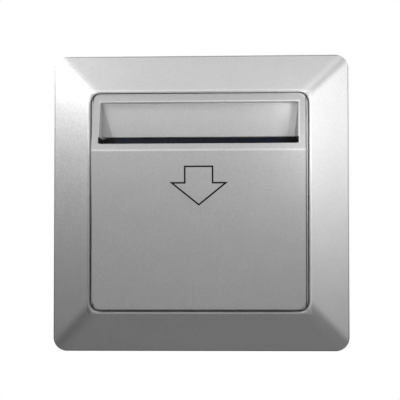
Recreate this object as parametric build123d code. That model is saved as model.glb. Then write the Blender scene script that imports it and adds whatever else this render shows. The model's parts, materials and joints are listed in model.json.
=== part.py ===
from build123d import *
import os
from math import atan2, cos

# Card-operated power switch for a hotel room, in millimetres.
# X is right, Z is up and the front faces -Y. The wall face is the plane y = 0,
# and the origin lies midway between the two box screws.
# A height is a distance off the wall towards the room, so a height h lies at y = -h.

# Face frame
frame_size = 86.0
frame_corner = 4.0
frame_edge_height = 2.4
frame_mitre_radius = 6.0
rim_height = 9.6
opening_size = 63.0
opening_corner = 3.0
frame_wall = 2.0
skirt_wall = 1.4
rim_land = 0.6
rim_edge = 0.3
frame_rib_wall = 1.0
frame_rib_places = (-22.0, 0.0, 22.0)
pry_notch_width = 8.0
pry_notch_height = 1.3

# Front cover
cover_gap = 0.3
shoulder_height = 8.6
shoulder_inset_side = 0.6
shoulder_inset_end = 0.3
cover_corner = 2.6
cover_top_height = 9.2
cover_ridge_height = 15.2
cover_foot_height = 10.6
cover_ridge_z = 14.4
cover_face_wall = 2.0
cover_side_wall = 2.1
cover_end_wall = 2.2
cover_ridge_radius = 0.5
window_lip = 1.9
window_corner = 0.6
recess_floor_top_height = 5.2
recess_floor_foot_height = 4.1
recess_floor_foot_z = 19.1
recess_floor_wall = 1.4
guide_rib_places = (-12.0, 12.0)
guide_rib_wall = 1.0
guide_rib_depth = 0.8
part_gap = 0.3
close_gap = 0.1
cut_past = 1.0

# Snap tongues of the frame and the cover
tongue_width = 6.0
tongue_wall = 1.2
tongue_reach = 0.6
tongue_bead = 0.25
tongue_gap = 0.3
frame_tongue_inset = 5.4
frame_tongue_place = 24.0
cover_tongue_place = 18.0
tongue_end_clearance = 0.35

# Mounting plate
base_gap = 1.0
base_corner = 3.0
base_thickness = 2.4
base_edge_height = 1.5
base_edge_slope = 1.8
base_hollow_depth = 1.0
base_hollow_margin = 1.6
base_rib_wall = 1.2
box_screw_spacing = 60.3
box_slot_length = 7.0
box_slot_width = 4.5
box_head_diameter = 8.2
box_pad_thickness = 1.4
box_head_room = 3.0
locating_rim_height = 1.2
locating_rim_wall = 1.0
locating_rim_gap = 0.2

# Rear housing
housing_width = 50.0
housing_height = 58.0
housing_top_gap = 1.0
housing_corner = 2.5
housing_wall = 1.8
column_half = 3.4
column_inset = 4.3
well_radius = 2.4
well_floor = 1.5
housing_boss_height = 4.0
housing_boss_half = 2.1
housing_screw_radius = 1.1
housing_screw_gap = 0.2
housing_screw_head_radius = 2.0
housing_screw_head_height = 1.6
housing_screw_bite = 3.6
vent_width = 1.6
vent_length = 14.0
vent_pitch = 4.0
vent_count = 6

# Card pocket
pocket_gap = 0.2
pocket_wall = 1.4
pocket_rail_wall = 0.8
pocket_rail_lip = 6.0
pocket_front_wall = 1.2
pocket_floor_wall = 1.5
card_gap = 2.4
rail_top_z = 15.5
rail_lead = 1.6
peg_radius = 1.5
peg_head_radius = 2.1
peg_head_height = 0.7
peg_places = ((-17.5, 5.0), (17.5, 5.0))

# Lit strip beside the card slot
lens_length = 50.0
lens_height = 2.3
lens_wall = 0.8
lens_z = 17.5
pillar_half = 1.1
pillar_gap = 0.1
pillar_pitch = 16.0
pillar_count = 3
fit_clearance = 0.05

# Card lever and the switch that it presses
lever_pivot_drop = 5.3
lever_pivot_height = 2.2
lever_pin_radius = 0.75
lever_pin_length = 9.8
lever_knuckle_radius = 1.3
lever_width = 5.4
lever_wall = 1.2
lever_foot_gap = 0.6
lever_nose_height = 5.7
lever_nose_half = 1.9
lever_side_gap = 0.7
lever_end_gap = 0.4
lever_window_top = 2.8
switch_width = 5.8
switch_length = 12.8
switch_edge = 0.3
switch_face_depth = -0.4
switch_foot_gap = 1.5
plunger_radius = 0.9
plunger_drop = 3.5
plunger_shaft = 1.9
plunger_bore_depth = 2.9
switch_pin_width = 0.9
switch_pin_wall = 0.4
switch_pin_pitch = 5.1

# Circuit boards
board_thickness_front = 1.2
board_thickness_rear = 1.6
board_face_depth = 6.0
board_gap = 2.4
board_side_gap = 0.4
board_end_gap = 0.3
board_post_half = 1.8
board_post_inset_x = 2.0
board_post_inset_z = 2.4
board_screw_radius = 0.95
board_screw_head_radius = 1.8
board_screw_head_height = 1.2
board_screw_bite = 4.2
board_tab_side = 0.4
board_tab_gap = 0.3
coil_width = 35.6
coil_switch_gap = 1.3
coil_lamp_gap = 1.0
coil_turns = 5
coil_pitch = 0.7
coil_trace = 0.4
coil_wall = 0.3
chip_size = 7.0
chip_height = 0.9
chip_x = -9.0
chip_z = 6.0
led_width = 3.0
led_length = 2.6
led_height = 1.9
led_edge = 0.25
link_count = 5
link_pitch = 2.54
link_x = 7.5
link_inset = 1.8
link_pin_width = 0.64
link_pin_tail = 1.0

# Parts on the rear board
pin_tail = 1.0
film_length = 13.0
film_width = 6.0
film_height = 11.5
film_edge = 0.5
film_x = -7.0
film_z = -8.5
drum_radius = 4.0
drum_height = 12.5
drum_groove = 0.4
drum_groove_height = 1.8
drum_x = 9.0
drum_z = 7.0
disc_radius = 4.6
disc_wall = 3.6
disc_x = 18.4
disc_z = 6.0
disc_lift = 1.2
bridge_length = 6.5
bridge_width = 4.7
bridge_height = 2.6
bridge_edge = 0.4
bridge_x = 12.0
bridge_z = -3.6
fuse_radius = 1.9
fuse_length = 9.5
fuse_x = 10.5
fuse_z = -11.0
fuse_lift = 0.6
fuse_lead_reach = 1.6
lead_wall = 0.6

# Relay
relay_side_gap = 1.4
relay_post_gap = 1.4
relay_length = 20.0
relay_width = 15.6
relay_height = 16.0
relay_shell = 0.9
relay_slip = 0.1
relay_base_wall = 2.0
relay_pin_inset = 2.2
relay_pin_width = 1.0
relay_pin_wall = 0.5
yoke_wall = 1.2
yoke_foot = 1.0
yoke_foot_reach = 1.0
yoke_width = 7.0
yoke_offset = 8.6
yoke_height = 12.8
core_radius = 1.8
pole_radius = 2.8
pole_wall = 0.6
pole_height = 12.4
bobbin_bore_gap = 0.05
bobbin_tube = 0.7
bobbin_flange_radius = 4.4
bobbin_flange_wall = 0.8
winding_radius = 4.0
armature_gap = 0.1
armature_wall = 1.0
armature_length = 11.6
armature_tail = 1.0
leaf_wall = 0.25
leaf_width = 5.0
leaf_root = 2.0
contact_radius = 1.3
contact_wall = 0.7
contact_x = 7.2
contact_travel = 0.7
contact_strip_wall = 0.6

# Terminals
pole_count = 4
pole_side_gap = 1.3
pole_depth_z = 11.0
pole_step = 2.0
pole_foot_height = 2.2
terminal_edge = 0.4
notch_gap = 0.2
cavity_half_width = 2.8
cavity_floor_gap = 0.4
cavity_ceiling_wall = 0.6
cavity_length = 6.4
entry_wall = 2.0
entry_radius = 2.05
cage_half_width = 2.6
cage_wall = 0.8
cage_floor = 0.9
cage_roof = 1.6
cage_length = 5.6
cage_opening = 5.4
cage_end_gap = 0.4
cage_travel = 2.5
cage_stop_gap = 0.2
screw_radius = 1.7
screw_running = 0.05
screw_hole_gap = 0.15
screw_head_radius = 2.3
screw_head_height = 1.4
screw_head_sink = 0.4
screw_well_radius = 2.6
drive_slot_depth = 0.8
bar_width = 3.3
bar_wall = 1.0
bar_roof_gap = 0.2
bar_leg_width = 2.0
bar_slip = 0.1

# Places worked out from the sizes above
front_board_back = board_face_depth + board_thickness_front
rear_board_face = front_board_back + board_gap
rear_board_back = rear_board_face + board_thickness_rear
housing_depth = rear_board_back + relay_height + housing_top_gap + housing_wall
board_width = housing_width - 2 * housing_wall - 2 * board_side_gap
board_height = housing_height - 2 * (column_inset + column_half + board_end_gap)
board_post_x = board_width / 2 - board_post_inset_x
board_post_z = board_height / 2 - board_post_inset_z
relay_x = -(housing_width / 2 - housing_wall - relay_side_gap - relay_length / 2)
relay_z = board_post_z - board_screw_head_radius - relay_post_gap - relay_width / 2
link_z = board_height / 2 - link_inset
switch_top_z = switch_foot_gap + switch_length - board_height / 2
lever_pivot_z = switch_top_z - lever_pivot_drop
plunger_z = lever_pivot_z - plunger_drop
coil_foot_z = switch_top_z + coil_switch_gap
coil_top_z = lens_z - led_length / 2 - coil_lamp_gap
coil_height = coil_top_z - coil_foot_z
coil_z = (coil_top_z + coil_foot_z) / 2
pole_step_depth = rear_board_back + pole_foot_height
screw_head_floor = housing_depth - screw_head_sink - screw_head_height
cavity_ceiling = screw_head_floor - cavity_ceiling_wall
cage_roof_face = cavity_ceiling - cage_stop_gap - cage_travel - cage_roof
cage_rest = cage_roof_face - cage_opening - cage_floor
cavity_floor = cage_rest - cavity_floor_gap
bar_face = cage_roof_face - bar_roof_gap - bar_wall
base_size = frame_size - 2 * frame_wall - 2 * base_gap
cover_size = opening_size - 2 * cover_gap
block_width = cover_size - 2 * shoulder_inset_side
block_height = cover_size - 2 * shoulder_inset_end
block_end = block_height / 2
window_half = block_width / 2 - cover_side_wall
window_top = block_end - cover_end_wall
window_foot = cover_ridge_z + window_lip
skirt_height = base_thickness + part_gap
pocket_face_height = base_thickness + pocket_wall
pocket_half = window_half - pocket_gap
pocket_foot = -block_end + cover_end_wall + pocket_gap
pocket_top = recess_floor_foot_z - pocket_gap
rail_back_height = pocket_face_height + card_gap
rail_front_height = rail_back_height + pocket_front_wall
column_x = housing_width / 2 - column_inset
column_z = housing_height / 2 - column_inset
lever_end_z = pocket_foot + pocket_floor_wall + lever_foot_gap
lever_nose_z = lever_end_z + lever_nose_half
lever_window_half = lever_width / 2 + lever_side_gap
lever_window_top_z = lever_pivot_z + lever_window_top
lever_window_foot_z = lever_end_z - lever_end_gap
lever_back_depth = -lever_pivot_height + lever_wall / 4
pole_pitch = 2 * (column_x - column_half - pole_side_gap) / pole_count
pole_outer_z = -housing_height / 2
board_tab_half = pole_count * pole_pitch / 2 + board_tab_side
board_tab_foot = pole_outer_z + housing_wall + board_tab_gap
pole_inner_z = pole_outer_z + pole_depth_z
pole_places = [(i - (pole_count - 1) / 2) * pole_pitch for i in range(pole_count)]
pillar_places = [(i - (pillar_count - 1) / 2) * pillar_pitch for i in range(pillar_count)]
board_posts = [(-board_post_x, board_post_z), (board_post_x, -board_post_z)]
columns = [(x, z) for x in (-column_x, column_x) for z in (-column_z, column_z)]
screw_axis_z = pole_outer_z + entry_wall + cage_end_gap + cage_length / 2
wire_y = cage_rest + cage_floor + (bar_face - cage_rest - cage_floor) / 2


def outline(width, height, corner, y, x=0.0, z=0.0):
    """Rounded rectangle parallel to the wall, at depth y."""
    plane = Plane(origin=(x, y, z), x_dir=(1, 0, 0), z_dir=(0, -1, 0))
    return plane * RectangleRounded(width, height, corner)


def slab(width, height, corner, y_front, y_back, x=0.0, z=0.0):
    """Rounded rectangular block between two depths."""
    return extrude(outline(width, height, corner, y_back, x, z), y_back - y_front)


def block(x_low, x_high, y_low, y_high, z_low, z_high):
    """Square-edged block between opposite corners."""
    body = Box(x_high - x_low, y_high - y_low, z_high - z_low)
    return Pos((x_low + x_high) / 2, (y_low + y_high) / 2, (z_low + z_high) / 2) * body


def rod(radius, start, end):
    """Round bar from one point to another."""
    along = Vector(*end) - Vector(*start)
    base = Align.CENTER, Align.CENTER, Align.MIN
    return Plane(origin=start, z_dir=along) * Cylinder(radius, along.length, align=base)


def across(points, x_low, x_high):
    """Side outline of (y, z) points, carried along X."""
    face = Plane.YZ.offset(x_low) * make_face(Polyline(*points, close=True))
    return extrude(face, x_high - x_low)


def bevelled(size, y_foot, y_top, run):
    """Square block whose four sides lean in by run between two depths."""
    half = size / 2
    ridge = across([(y_foot, -half), (y_top, run - half), (y_top, half - run), (y_foot, half)], -half, half)
    return ridge & (Rot(0, 90, 0) * ridge)


def snap_tongue(reach_from, bead_side):
    """Snap tongue standing on y, with its bead near its tip, centred on its own X and Z."""
    half = tongue_wall / 2
    body = block(-tongue_width / 2, tongue_width / 2, reach_from, -tongue_reach, -half, half)
    bead_y = -tongue_reach - 2 * tongue_bead
    bead = rod(tongue_bead, (-tongue_width / 2, bead_y, bead_side * half),
               (tongue_width / 2, bead_y, bead_side * half))
    return body + bead


def frame_tongue_spots():
    """Places of the frame's tongues, with the side that each bead faces."""
    x = frame_size / 2 - frame_wall - frame_tongue_inset
    return [(side * x, z, side) for side in (-1, 1) for z in (-frame_tongue_place, frame_tongue_place)]


def cover_tongue_spots():
    """Places of the cover's tongues, with the side that each bead faces."""
    z = block_end - cover_end_wall / 2
    return [(x, side * z, side) for side in (-1, 1) for x in (-cover_tongue_place, cover_tongue_place)]


def screw_head_space(height):
    """Room that a box screw's head needs on each side of the plate."""
    length = box_slot_length - box_slot_width + box_head_diameter
    space = Part()
    for side in (-1, 1):
        plane = Plane(origin=(side * box_screw_spacing / 2, -box_pad_thickness, 0),
                      x_dir=(1, 0, 0), z_dir=(0, -1, 0))
        space += extrude(plane * SlotOverall(length, box_head_diameter), height)
    return space


def outer_frame():
    """Raised square face frame: a bevelled shell with a skirt round its opening."""
    full_run = (frame_size - opening_size) / 2
    bevel_run = full_run - rim_land
    bevel_rise = rim_height - frame_edge_height
    drop = frame_wall / cos(atan2(bevel_rise, bevel_run))
    low = frame_edge_height + bevel_rise * frame_wall / bevel_run - drop
    high = frame_edge_height + bevel_rise * (full_run - skirt_wall) / bevel_run - drop
    shell = bevelled(frame_size, -frame_edge_height, -rim_height, bevel_run)
    mitres = [e for e in shell.edges() if abs(e.tangent_at(0.5).Y) > 0.1]
    shell = fillet(mitres, frame_mitre_radius)
    shell += slab(frame_size, frame_size, frame_corner, -frame_edge_height, 0)
    shell &= slab(frame_size, frame_size, frame_corner, -rim_height, 0)
    inner_size = frame_size - 2 * frame_wall
    skirt_size = opening_size + 2 * skirt_wall
    skirt_corner = opening_corner + skirt_wall
    hollow = bevelled(inner_size, -low, -high, (inner_size - skirt_size) / 2)
    hollow += slab(inner_size, inner_size, frame_corner - frame_wall, -low, 0)
    shell -= hollow
    skirt = slab(skirt_size, skirt_size, skirt_corner, -high, -skirt_height)
    shell += skirt
    for place in frame_rib_places:
        half = frame_rib_wall / 2
        reach = inner_size / 2
        ribs = block(place - half, place + half, -rim_height, -skirt_height, -reach, reach)
        ribs += block(-reach, reach, -rim_height, -skirt_height, place - half, place + half)
        shell += (ribs & hollow)
    for x, z, side in frame_tongue_spots():
        spot = Pos(x, 0, z) * Rot(0, 90, 0)
        shell += spot * snap_tongue(-high, side)
    shell -= slab(opening_size, opening_size, opening_corner, -rim_height - cut_past, cut_past)
    land = shell.faces().filter_by(Axis.Y).sort_by(Axis.Y)[0]
    shell = chamfer(land.inner_wires()[0].edges(), rim_edge)
    shell -= screw_head_space(box_head_room)
    notch = block(-pry_notch_width / 2, pry_notch_width / 2, -pry_notch_height, cut_past,
                  -frame_size / 2 - cut_past, -frame_size / 2 + frame_wall + cut_past)
    return shell - notch


def cover_side(inset):
    """Side face of the cover, drawn in from its outline by a wall."""
    far = cover_ridge_height
    corners = Polyline((far, -block_end), (-cover_foot_height, -block_end),
                       (-cover_ridge_height, cover_ridge_z), (-cover_top_height, block_end),
                       (far, block_end), close=True)
    side = make_face(corners)
    if inset:
        side = offset(side, amount=-inset, kind=Kind.INTERSECTION)
    return Plane.YZ * side


def front_cover():
    """Centre cover: sloped face, card window, recess floor and snap tongues in one moulding."""
    block_half = block_width / 2
    body = extrude(cover_side(0), block_half, both=True)
    ridge = [e for e in body.edges().filter_by(Axis.X)
             if abs(e.center().Y + cover_ridge_height) < 0.01]
    body = fillet(ridge, cover_ridge_radius)
    body &= slab(block_width, block_height, cover_corner, -cover_ridge_height, -skirt_height)
    body += slab(cover_size, cover_size, cover_corner, -shoulder_height, -skirt_height)
    cavity = extrude(cover_side(cover_face_wall), block_half, both=True)
    cavity &= slab(2 * window_half, block_height - 2 * cover_end_wall, window_corner,
                   -cover_ridge_height, 0)
    body -= cavity
    window_height = window_top - window_foot
    body -= slab(2 * window_half, window_height, window_corner, -cover_ridge_height - cut_past,
                 -recess_floor_top_height, z=(window_top + window_foot) / 2)
    floor_back = recess_floor_wall
    body += across([(-recess_floor_top_height, window_top), (-recess_floor_foot_height, recess_floor_foot_z),
                    (floor_back - recess_floor_foot_height, recess_floor_foot_z),
                    (floor_back - recess_floor_top_height, window_top)], -window_half, window_half)
    ribs = extrude(cover_side(cover_face_wall), block_half, both=True)
    ribs -= extrude(cover_side(cover_face_wall + guide_rib_depth), block_half, both=True)
    for place in guide_rib_places:
        strip = block(place - guide_rib_wall / 2, place + guide_rib_wall / 2,
                      -cover_ridge_height, -rail_front_height, -block_end + cover_end_wall, cover_ridge_z)
        body += (ribs & strip)
    for x, z, side in cover_tongue_spots():
        body += Pos(x, 0, z) * snap_tongue(-skirt_height - cut_past, side)
    return body - screw_head_space(box_head_room)


def mounting_plate():
    """Moulded plate behind the face, screwed to the wall box."""
    front = -base_thickness
    face_size = base_size - 2 * base_edge_slope
    body = slab(base_size, base_size, base_corner, -base_edge_height, 0)
    body += loft([outline(base_size, base_size, base_corner, -base_edge_height),
                  outline(face_size, face_size, base_corner, front)], ruled=True)
    hollow_size = base_size - 2 * base_hollow_margin
    hollow = slab(hollow_size, hollow_size, base_corner, -base_hollow_depth, cut_past)
    half_x = housing_width / 2 + base_hollow_margin
    half_z = housing_height / 2 + base_hollow_margin
    hollow -= block(-half_x, half_x, front, cut_past, -half_z, half_z)
    pad_length = box_slot_length - box_slot_width + box_head_diameter + 2 * base_rib_wall
    pad_height = box_head_diameter + 2 * base_rib_wall
    for side in (-1, 1):
        x = side * box_screw_spacing / 2
        hollow -= block(x - pad_length / 2, x + pad_length / 2, front, cut_past,
                        -pad_height / 2, pad_height / 2)
    for x, z, _ in frame_tongue_spots() + cover_tongue_spots():
        reach = tongue_width / 2 + base_rib_wall
        hollow -= block(x - reach, x + reach, front, cut_past, z - reach, z + reach)
    body -= hollow
    body -= screw_head_space(box_head_room)
    for side in (-1, 1):
        plane = Plane(origin=(side * box_screw_spacing / 2, 1, 0), x_dir=(1, 0, 0), z_dir=(0, -1, 0))
        body -= extrude(plane * SlotOverall(box_slot_length, box_slot_width), base_thickness + 2)
    for x, z, side in frame_tongue_spots():
        half = tongue_wall / 2 + tongue_gap
        reach = tongue_width / 2 + tongue_end_clearance
        body -= block(x - half, x + half, front - cut_past, cut_past, z - reach, z + reach)
    for x, z, side in cover_tongue_spots():
        half = tongue_wall / 2 + tongue_gap
        reach = tongue_width / 2 + tongue_end_clearance
        body -= block(x - reach, x + reach, front - cut_past, cut_past, z - half, z + half)
    rim_width = housing_width - 2 * (housing_wall + locating_rim_gap)
    rim_height_z = housing_height - 2 * (housing_wall + locating_rim_gap)
    half_x = rim_width / 2
    half_z = rim_height_z / 2
    wall = locating_rim_wall
    rim = block(-half_x, half_x, 0, locating_rim_height, -half_z, half_z)
    rim = chamfer(rim.edges().filter_by(Axis.Y), housing_corner - housing_wall)
    rim -= block(wall - half_x, half_x - wall, -cut_past, locating_rim_height + cut_past,
                 wall - half_z, half_z - wall)
    body += rim
    for x, z in columns:
        body += block(x - housing_boss_half, x + housing_boss_half, -base_hollow_depth, housing_boss_height,
                      z - housing_boss_half, z + housing_boss_half)
    for x, z in board_posts:
        body += block(x - board_post_half, x + board_post_half, -base_hollow_depth, board_face_depth,
                      z - board_post_half, z + board_post_half)
    for x, z in columns:
        body -= rod(housing_screw_radius, (x, housing_boss_height - housing_screw_bite, z),
                    (x, housing_boss_height + cut_past, z))
    for x, z in board_posts:
        body -= rod(board_screw_radius, (x, board_face_depth - board_screw_bite, z),
                    (x, board_face_depth + cut_past, z))
    body -= block(-lever_window_half, lever_window_half, front - cut_past, cut_past,
                  lever_window_foot_z, lever_window_top_z)
    recess = switch_width / 2 + part_gap
    body -= block(-recess, recess, switch_face_depth - part_gap, cut_past,
                  switch_top_z - switch_length - part_gap, switch_top_z + part_gap)
    seat = lever_pin_length / 2
    body -= rod(lever_pin_radius, (-seat, -lever_pivot_height, lever_pivot_z),
                (seat, -lever_pivot_height, lever_pivot_z))
    reach = pillar_half + pillar_gap
    for x in pillar_places:
        body -= block(x - reach, x + reach, front - cut_past, cut_past, lens_z - reach, lens_z + reach)
    for x, z in peg_places:
        body -= rod(peg_radius, (x, front - cut_past, z), (x, cut_past, z))
    return body


def card_pocket():
    """Black pocket that guides the card behind the cover: back wall, edge rails, floor and pegs."""
    back = -base_thickness
    body = block(-pocket_half, pocket_half, -pocket_face_height, back, pocket_foot, pocket_top)
    body = chamfer(body.edges().filter_by(Axis.Y), window_corner)
    rail = Polyline((pocket_half, back), (pocket_half, -rail_front_height),
                    (pocket_half - pocket_rail_lip, -rail_front_height),
                    (pocket_half - pocket_rail_lip, -rail_back_height),
                    (pocket_half - pocket_rail_wall, -rail_back_height),
                    (pocket_half - pocket_rail_wall, -pocket_face_height),
                    (pocket_half - pocket_rail_wall, back), close=True)
    rail = Plane.XY.offset(pocket_foot) * make_face(rail)
    rails = extrude(rail, rail_top_z - pocket_foot)
    above = rail_top_z + cut_past
    lead = across([(-rail_front_height - cut_past, above), (-rail_back_height, above),
                   (-rail_back_height, rail_top_z - rail_lead),
                   (-rail_front_height, rail_top_z)], 0, pocket_half - pocket_rail_wall)
    rails -= lead
    body += rails
    body += mirror(rails, about=Plane.YZ)
    body += block(-pocket_half, pocket_half, -rail_front_height, back,
                  pocket_foot, pocket_foot + pocket_floor_wall)
    body -= block(-lever_window_half, lever_window_half, -pocket_face_height - close_gap, cut_past,
                  lever_window_foot_z, lever_window_top_z)
    seat = lever_pin_length / 2
    body -= rod(lever_pin_radius, (-seat, -lever_pivot_height, lever_pivot_z),
                (seat, -lever_pivot_height, lever_pivot_z))
    body -= screw_head_space(box_head_room)
    body -= block(-lens_length / 2, lens_length / 2, -pocket_face_height - cut_past,
                  lens_wall - pocket_face_height, lens_z - lens_height / 2, lens_z + lens_height / 2)
    reach = pillar_half + pillar_gap
    for x in pillar_places:
        body -= block(x - reach, x + reach, -pocket_face_height - cut_past, cut_past,
                      lens_z - reach, lens_z + reach)
    for x, z in peg_places:
        body += rod(peg_radius, (x, back, z), (x, 0, z))
        body += rod(peg_head_radius, (x, 0, z), (x, peg_head_height, z))
    return body


def slot_lens():
    """Smoked strip beside the slot, with a light pillar for each lamp behind it."""
    front = -pocket_face_height
    half_x = lens_length / 2 - fit_clearance
    half_z = lens_height / 2 - fit_clearance
    body = block(-half_x, half_x, front, front + lens_wall, lens_z - half_z, lens_z + half_z)
    tip = board_face_depth - led_height - part_gap
    for x in pillar_places:
        body += block(x - pillar_half, x + pillar_half, front + lens_wall / 2, tip,
                      lens_z - pillar_half, lens_z + pillar_half)
    return body


def card_lever():
    """Flap that the card's lower edge pushes back, hung on a pin across its top."""
    y = -lever_pivot_height
    z = lever_pivot_z
    front = lever_back_depth - lever_wall
    knuckle = rod(lever_knuckle_radius, (-lever_width / 2, y, z), (lever_width / 2, y, z))
    nose_half = lever_nose_half
    side = Polyline((lever_back_depth, z), (lever_back_depth, lever_end_z), (front, lever_end_z),
                    (-lever_nose_height, lever_nose_z - nose_half / 3),
                    (-lever_nose_height, lever_nose_z + nose_half / 4),
                    (front, lever_nose_z + 2 * nose_half), (front, z), close=True)
    arm = extrude(Plane.YZ * make_face(side), lever_width / 2, both=True)
    tips = [e for e in arm.edges().filter_by(Axis.X) if abs(e.center().Y + lever_nose_height) < 0.01]
    arm = fillet(tips, nose_half / 6)
    body = knuckle + arm
    return body - rod(lever_pin_radius + fit_clearance, (-lever_width, y, z), (lever_width, y, z))


def lever_pin():
    """Steel pin of the card lever."""
    half = lever_pin_length / 2
    y = -lever_pivot_height
    return rod(lever_pin_radius, (-half, y, lever_pivot_z), (half, y, lever_pivot_z))


def switch_case():
    """Case of the small snap switch, with the plunger's bore."""
    foot = switch_top_z - switch_length
    half = switch_width / 2
    body = block(-half, half, switch_face_depth, board_face_depth, foot, switch_top_z)
    body = chamfer(body.edges().filter_by(Axis.X), switch_edge)
    bore = plunger_radius + fit_clearance
    body -= rod(bore, (0, switch_face_depth - cut_past, plunger_z),
                (0, switch_face_depth + plunger_bore_depth, plunger_z))
    return body


def switch_plunger():
    """Round plunger between the card lever and the snap switch's contact spring."""
    tip = lever_back_depth + fit_clearance
    body = rod(plunger_radius, (0, tip, plunger_z), (0, switch_face_depth + plunger_shaft, plunger_z))
    return chamfer(body.edges().group_by(Axis.Y)[0], plunger_radius / 3)


def switch_pins():
    """Three solder blades of the snap switch, through the front board."""
    middle = switch_top_z - switch_length / 2
    half = switch_pin_width / 2
    wall = switch_pin_wall / 2
    pins = Part()
    for i in (-1, 0, 1):
        z = middle + i * switch_pin_pitch
        pins += block(-half, half, board_face_depth, front_board_back + pin_tail, z - wall, z + wall)
    return pins


def board_holes(y_front, y_back):
    """Holes of the four screws that carry both boards."""
    holes = Part()
    for x, z in board_posts:
        holes += rod(board_screw_radius + fit_clearance, (x, y_front, z), (x, y_back, z))
    return holes


def link_pins():
    """Row of square pins that joins the two boards."""
    half = link_pin_width / 2
    pins = Part()
    for i in range(link_count):
        x = link_x + (i - (link_count - 1) / 2) * link_pitch
        pins += block(x - half, x + half, board_face_depth - link_pin_tail,
                      rear_board_back + link_pin_tail, link_z - half, link_z + half)
    return pins


def link_header():
    """Moulded strip round the link pins, between the boards."""
    length = link_count * link_pitch
    half = link_pitch / 2
    body = block(link_x - length / 2, link_x + length / 2, front_board_back, rear_board_face,
                 link_z - half, link_z + half)
    body = chamfer(body.edges().filter_by(Axis.Y), link_pitch / 8)
    return body - link_pins()


def reader_board():
    """Front board: card reader, coil, lamps and snap switch."""
    body = block(-board_width / 2, board_width / 2, board_face_depth, front_board_back,
                 -board_height / 2, board_height / 2)
    body -= board_holes(board_face_depth - cut_past, front_board_back + cut_past)
    return body - switch_pins() - link_pins()


def antenna_coil():
    """Flat wound coil on the front board that reads the card."""
    half_x = coil_width / 2
    half_z = coil_height / 2
    points = [(-half_x, 0)]
    for turn in range(coil_turns):
        step = turn * coil_pitch
        points += [(-half_x + step, half_z - step), (half_x - step, half_z - step),
                   (half_x - step, -half_z + step), (-half_x + step + coil_pitch, -half_z + step)]
    points.append((-half_x + coil_turns * coil_pitch, 0))
    path = Polyline(*points)
    plane = Plane(origin=(0, board_face_depth, coil_z), x_dir=(1, 0, 0), z_dir=(0, -1, 0))
    return extrude(plane * trace(path, coil_trace), coil_wall)


def reader_chip():
    """Reader chip on the back of the front board."""
    half = chip_size / 2
    body = block(chip_x - half, chip_x + half, front_board_back, front_board_back + chip_height,
                 chip_z - half, chip_z + half)
    return chamfer(body.edges().group_by(Axis.Y)[-1], chip_height / 4)


def locator_leds():
    """Lamps behind the light pillars."""
    lamps = Part()
    for x in pillar_places:
        face = board_face_depth - led_height
        lamp = block(x - led_width / 2, x + led_width / 2, face, board_face_depth,
                     lens_z - led_length / 2, lens_z + led_length / 2)
        lamps += chamfer(lamp.edges().group_by(Axis.Y)[0], led_edge)
    return lamps


def board_spacers():
    """Tubes that hold the rear board off the front one."""
    tubes = Part()
    for x, z in board_posts:
        tubes += block(x - board_post_half, x + board_post_half, front_board_back, rear_board_face,
                       z - board_post_half, z + board_post_half)
    return tubes - board_holes(front_board_back - cut_past, rear_board_face + cut_past)


def cross_drive(y, head_radius, depth):
    """Cross recess cut down from a screw head's face at depth y."""
    arm = 2 * head_radius / 3
    wall = head_radius / 6
    cross = block(-arm, arm, y - depth, y + cut_past, -wall, wall)
    return cross + block(-wall, wall, y - depth, y + cut_past, -arm, arm)


def board_screws():
    """Four long screws through both boards into the plate's posts."""
    screws = Part()
    for x, z in board_posts:
        seat = rear_board_back
        top = seat + board_screw_head_height
        screw = rod(board_screw_radius, (x, board_face_depth - board_screw_bite + part_gap, z), (x, seat, z))
        head = rod(board_screw_head_radius, (x, seat, z), (x, top, z))
        head -= Pos(x, 0, z) * cross_drive(top, board_screw_head_radius, board_screw_head_height / 2)
        screws += screw + head
    return screws


def housing_screws():
    """Four screws from behind, down the housing's wells into the plate's bosses."""
    screws = Part()
    for x, z in columns:
        seat = housing_boss_height + well_floor
        top = seat + housing_screw_head_height
        tip = housing_boss_height - housing_screw_bite + part_gap
        screw = rod(housing_screw_radius, (x, tip, z), (x, seat, z))
        head = rod(housing_screw_head_radius, (x, seat, z), (x, top, z))
        head -= Pos(x, 0, z) * cross_drive(top, housing_screw_head_radius, housing_screw_head_height / 2)
        screws += screw + head
    return screws


def rear_housing():
    """Deep rear shell with four screw columns, vents and an open corner for the terminals."""
    body = slab(housing_width, housing_height, housing_corner, 0, housing_depth)
    body = chamfer(body.edges().group_by(Axis.Y)[-1], housing_wall / 2)
    inner = slab(housing_width - 2 * housing_wall, housing_height - 2 * housing_wall,
                 housing_corner - housing_wall, -1, housing_depth - housing_wall)
    shell = body - inner
    for x, z in columns:
        column = block(x - column_half, x + column_half, housing_boss_height, housing_depth,
                       z - column_half, z + column_half)
        shell += (column & body)
    for x, z in columns:
        shell -= rod(housing_screw_radius + housing_screw_gap, (x, 0, z), (x, housing_depth + cut_past, z))
        shell -= rod(well_radius, (x, housing_boss_height + well_floor, z), (x, housing_depth + cut_past, z))
    notch_half = pole_count * pole_pitch / 2 + notch_gap
    shell -= block(-notch_half, notch_half, pole_step_depth - notch_gap, housing_depth + cut_past,
                   pole_outer_z - cut_past, pole_outer_z + housing_wall + close_gap)
    shell -= block(-notch_half, notch_half,
                   housing_depth - housing_wall - close_gap, housing_depth + cut_past,
                   pole_outer_z - cut_past, pole_inner_z + notch_gap)
    for i in range(vent_count):
        place = (i - (vent_count - 1) / 2) * vent_pitch
        half = vent_width / 2
        y_low = (housing_depth - vent_length) / 2
        shell -= block(place - half, place + half, y_low, y_low + vent_length,
                       housing_height / 2 - housing_wall - cut_past, housing_height / 2 + cut_past)
        for side in (-1, 1):
            middle = side * (housing_width - housing_wall) / 2
            shell -= block(middle - cut_past, middle + cut_past, y_low, y_low + vent_length,
                           place - half, place + half)
    return shell


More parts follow.
